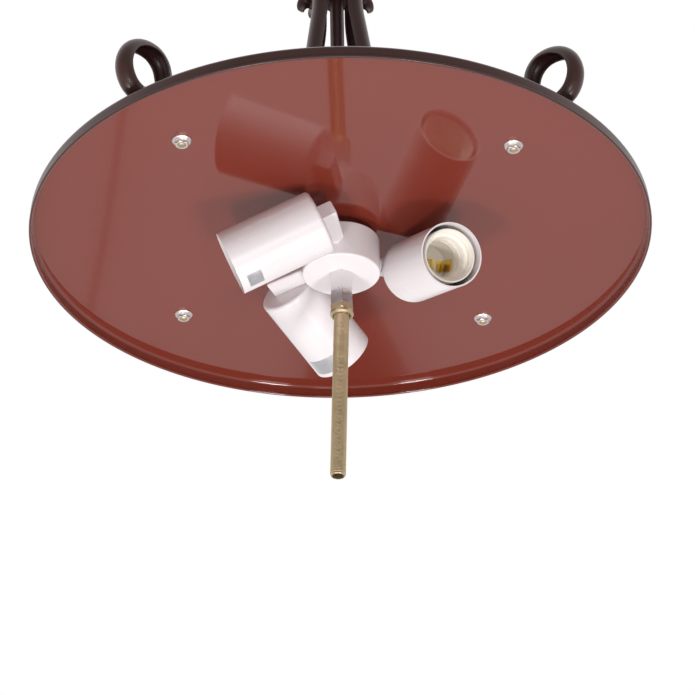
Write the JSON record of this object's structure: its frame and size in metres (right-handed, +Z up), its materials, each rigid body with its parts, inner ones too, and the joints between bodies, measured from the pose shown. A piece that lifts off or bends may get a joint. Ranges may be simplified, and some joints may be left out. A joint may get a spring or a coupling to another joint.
{
  "type": "pendant light",
  "caption": "Round metal pendant fitting on scroll arms with a hanging eye, swivelling lampholders under the pan and a threaded rod for a bowl.",
  "frame": {"origin": "centre of the hanging eye's bore", "axes": "+Z up along the column, +Y along the eye's bore, away from the side the picture was taken from; +X to the right in the picture"},
  "size_m": [0.415, 0.415, 0.4461],
  "materials": {
    "bronze_paint": "gloss",
    "white_paint": "gloss",
    "zinc": "bright zinc plate",
    "yellow_zinc": "yellow zinc plate",
    "porcelain": "glazed",
    "brass": "bright"
  },
  "bodies": {
    "fixture": {"pan": "bronze_paint", "scroll_arm_1": "bronze_paint", "scroll_arm_2": "bronze_paint", "scroll_arm_3": "bronze_paint", "scroll_arm_4": "bronze_paint", "arm_bolts": "zinc", "flange_nuts": "zinc", "column_pipe": "bronze_paint", "arm_boss": "bronze_paint", "hanging_eye": "bronze_paint", "pan_nut": "zinc", "pan_washer": "zinc", "spacer": "white_paint", "hub_shell": "white_paint", "hub_lid": "white_paint", "hex_coupling": "zinc", "lock_nut": "yellow_zinc", "star_nut": "yellow_zinc", "bowl_rod": "yellow_zinc"},
    "socket_1": {"socket_arm_1": "white_paint", "swivel_stem_1": "zinc", "swivel_washer_1": "zinc", "swivel_nut_1": "zinc", "socket_cup_1": "white_paint", "cup_nipple_1": "zinc", "cup_nut_1": "zinc", "lampholder_1": "porcelain", "side_contact_1": "brass", "centre_contact_1": "brass"},
    "socket_2": {"socket_arm_2": "white_paint", "swivel_stem_2": "zinc", "swivel_washer_2": "zinc", "swivel_nut_2": "zinc", "socket_cup_2": "white_paint", "cup_nipple_2": "zinc", "cup_nut_2": "zinc", "lampholder_2": "porcelain", "side_contact_2": "brass", "centre_contact_2": "brass"},
    "socket_3": {"socket_arm_3": "white_paint", "swivel_stem_3": "zinc", "swivel_washer_3": "zinc", "swivel_nut_3": "zinc", "socket_cup_3": "white_paint", "cup_nipple_3": "zinc", "cup_nut_3": "zinc", "lampholder_3": "porcelain", "side_contact_3": "brass", "centre_contact_3": "brass"}
  },
  "joints": [
    {"name": "swivel_1", "type": "hinge", "parent": "fixture", "child": "socket_1", "pos_m": [0, 0, -0.2671], "axis": [0.9114, 0.4115, 0], "range_deg": [-2, 69.2]},
    {"name": "swivel_2", "type": "hinge", "parent": "fixture", "child": "socket_2", "pos_m": [0, 0, -0.2671], "axis": [-0.8007, 0.599, 0], "range_deg": [-4, 67]},
    {"name": "swivel_3", "type": "hinge", "parent": "fixture", "child": "socket_3", "pos_m": [0, 0, -0.2671], "axis": [-0.1582, -0.9874, 0], "range_deg": [-4.4, 66.6]}
  ]
}
